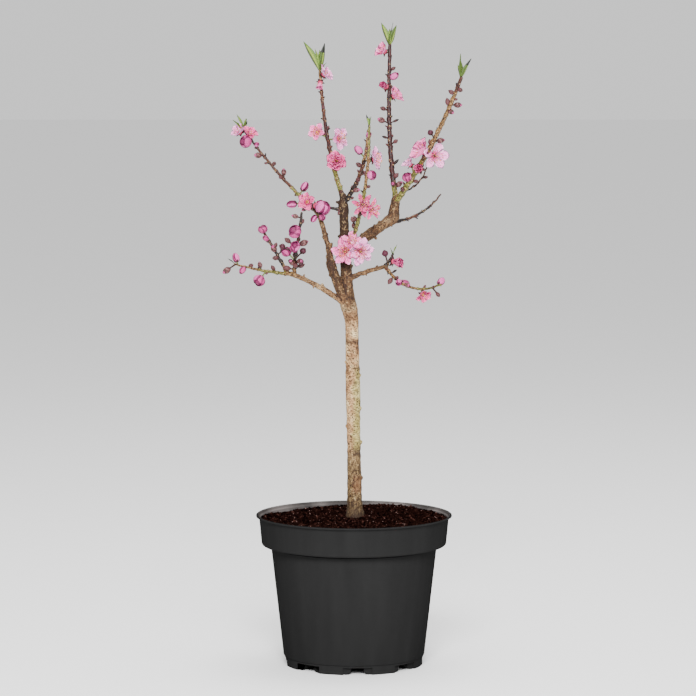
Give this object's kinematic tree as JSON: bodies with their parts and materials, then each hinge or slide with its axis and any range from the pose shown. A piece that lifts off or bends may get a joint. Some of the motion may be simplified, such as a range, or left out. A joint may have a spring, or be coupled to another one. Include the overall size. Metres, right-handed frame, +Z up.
{
  "type": "potted dwarf nectarine tree",
  "caption": "Small grafted fruit tree in early blossom: upright stem, open crown of bare shoots with pink flowers and buds, in a black nursery pot.",
  "frame": {"origin": "centre of the pot's flat underside, on the surface that it stands on", "axes": "+Z up along the stem, +X to the viewer's right, +Y away from the viewer"},
  "size_m": [0.2842, 0.23, 0.7517],
  "materials": {
    "pot_plastic": "satin moulded plastic",
    "compost": "damp and crumbly",
    "bark": "bark with small pores",
    "blossom_shoot": "soft petals and smooth young bark"
  },
  "bodies": {
    "root": {"pot": "pot_plastic", "soil": "compost", "trunk": "bark", "left_arm": "bark", "leader": "bark", "right_bough": "bark", "right_riser": "bark", "left_low_bough": "bark", "left_rise": "bark", "right_low_bough": "bark", "shoot_far_left": "blossom_shoot", "shoot_tall_left": "blossom_shoot", "shoot_middle_short": "blossom_shoot", "shoot_middle_front": "blossom_shoot", "shoot_tall_right": "blossom_shoot", "shoot_far_right": "blossom_shoot", "shoot_thin_right": "blossom_shoot", "twig_right_back": "blossom_shoot", "shoot_low_left": "blossom_shoot", "shoot_low_left_rising": "blossom_shoot", "spur_low_left": "blossom_shoot", "shoot_low_right": "blossom_shoot", "spur_low_right": "blossom_shoot", "spur_leader": "blossom_shoot", "spur_fork": "blossom_shoot"}
  },
  "joints": []
}
